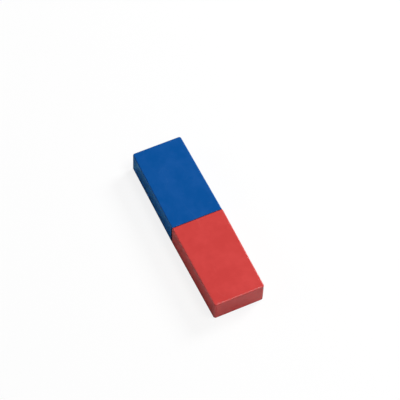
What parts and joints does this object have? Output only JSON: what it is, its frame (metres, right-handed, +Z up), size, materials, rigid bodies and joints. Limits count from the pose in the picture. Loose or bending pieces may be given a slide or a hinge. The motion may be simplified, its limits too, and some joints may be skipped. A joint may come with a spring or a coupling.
{
  "type": "bar magnet",
  "caption": "Rectangular bar magnet: a ferrite bar sealed in a moulded plastic case, blue at one pole and red at the other, glued together at the middle.",
  "frame": {"origin": "centre of the base, under the middle of the bar where the two case halves meet", "axes": "+X along the bar to the red pole, +Y across it, +Z up from the base it rests on"},
  "size_m": [0.08, 0.0228, 0.011],
  "materials": {
    "red_plastic": "moulded styrene, semi-gloss, lightly scuffed",
    "blue_plastic": "moulded styrene, semi-gloss, lightly scuffed",
    "ferrite": "sintered and ground, dull charcoal grey"
  },
  "bodies": {
    "root": {"red_case_half": "red_plastic", "blue_case_half": "blue_plastic", "ferrite_magnet": "ferrite"}
  },
  "joints": []
}
